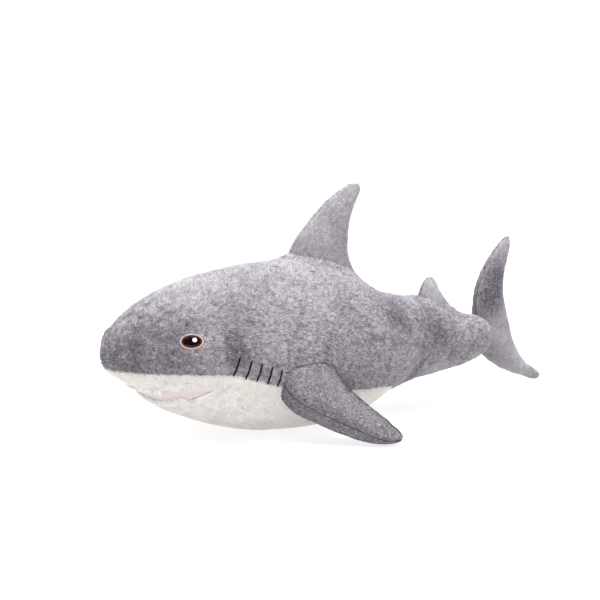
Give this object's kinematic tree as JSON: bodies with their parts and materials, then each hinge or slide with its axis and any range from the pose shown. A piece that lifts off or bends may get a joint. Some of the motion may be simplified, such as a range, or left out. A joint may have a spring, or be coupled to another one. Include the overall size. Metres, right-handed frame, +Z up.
{
  "type": "plush shark",
  "caption": "Stuffed plush shark with embroidered eyes and gills, felt teeth, a soft lower jaw, bending fins and a bending tail.",
  "frame": {"origin": "on the floor, under the middle of the toy's length and width", "axes": "+Z up, nose towards -Y and tail towards +Y, the shark's left side towards +X"},
  "size_m": [0.2846, 0.6, 0.251],
  "materials": {
    "grey_plush": "short brushed pile, cool purple-grey",
    "white_plush": "short brushed pile, warm off-white",
    "pink_lining": "smooth knitted lining, pale pink",
    "white_felt": "pressed felt",
    "fibre_fill": "loose polyester fibre",
    "pink_thread": "satin stitch",
    "brown_thread": "satin stitch",
    "black_thread": "satin stitch",
    "white_thread": "satin stitch",
    "gill_thread": "satin stitch"
  },
  "bodies": {
    "body": {"back_panel_left": "grey_plush", "back_panel_right": "grey_plush", "belly_panel": "white_plush", "body_stuffing": "fibre_fill", "eye_glint_left": "white_thread", "eye_glint_right": "white_thread", "eye_iris_left": "brown_thread", "eye_iris_right": "brown_thread", "eye_outline_left": "pink_thread", "eye_outline_right": "pink_thread", "eye_pupil_left": "black_thread", "eye_pupil_right": "black_thread", "gill_stitches_left": "gill_thread", "gill_stitches_right": "gill_thread", "mouth_lining_upper": "pink_lining", "upper_lip_panel": "white_plush", "upper_teeth": "white_felt"},
    "jaw": {"chin_panel": "white_plush", "jaw_stuffing": "fibre_fill", "lower_teeth": "white_felt", "mouth_lining_lower": "pink_lining"},
    "pectoral_left": {"pectoral_bottom_left": "grey_plush", "pectoral_stuffing_left": "fibre_fill", "pectoral_top_left": "grey_plush"},
    "pectoral_right": {"pectoral_bottom_right": "grey_plush", "pectoral_stuffing_right": "fibre_fill", "pectoral_top_right": "grey_plush"},
    "dorsal_fin": {"dorsal_panel_left": "grey_plush", "dorsal_panel_right": "grey_plush", "dorsal_stuffing": "fibre_fill"},
    "tail": {"rear_dorsal_fin": "grey_plush", "tail_panel_left": "grey_plush", "tail_panel_right": "grey_plush", "tail_stuffing": "fibre_fill"},
    "tail_fin": {"tail_fin_panel_left": "grey_plush", "tail_fin_panel_right": "grey_plush", "tail_fin_stuffing": "fibre_fill"}
  },
  "joints": [
    {"name": "jaw_open", "type": "hinge", "parent": "body", "child": "jaw", "pos_m": [0, -0.224, 0.06], "axis": [1, 0, 0], "range_deg": [0, 15], "stiffness_Nm_per_rad": 0.3},
    {"name": "pectoral_left_flap", "type": "hinge", "parent": "body", "child": "pectoral_left", "pos_m": [0.088, -0.097, 0.056], "axis": [0, -1, 0], "range_deg": [-8, 50], "stiffness_Nm_per_rad": 0.4},
    {"name": "pectoral_right_flap", "type": "hinge", "parent": "body", "child": "pectoral_right", "pos_m": [-0.088, -0.097, 0.056], "axis": [0, 1, 0], "range_deg": [-8, 50], "stiffness_Nm_per_rad": 0.4},
    {"name": "dorsal_fin_flop", "type": "hinge", "parent": "body", "child": "dorsal_fin", "pos_m": [0, -0.037, 0.1685], "axis": [0, 0.9542, -0.2992], "range_deg": [-35, 35], "stiffness_Nm_per_rad": 0.3},
    {"name": "tail_swing", "type": "hinge", "parent": "body", "child": "tail", "pos_m": [0, 0.1, 0.077], "axis": [0, 0, 1], "range_deg": [-25, 25], "stiffness_Nm_per_rad": 0.8},
    {"name": "tail_fin_swing", "type": "hinge", "parent": "tail", "child": "tail_fin", "pos_m": [0, 0.2, 0.075], "axis": [0, 0, 1], "range_deg": [-35, 35], "stiffness_Nm_per_rad": 0.3}
  ]
}
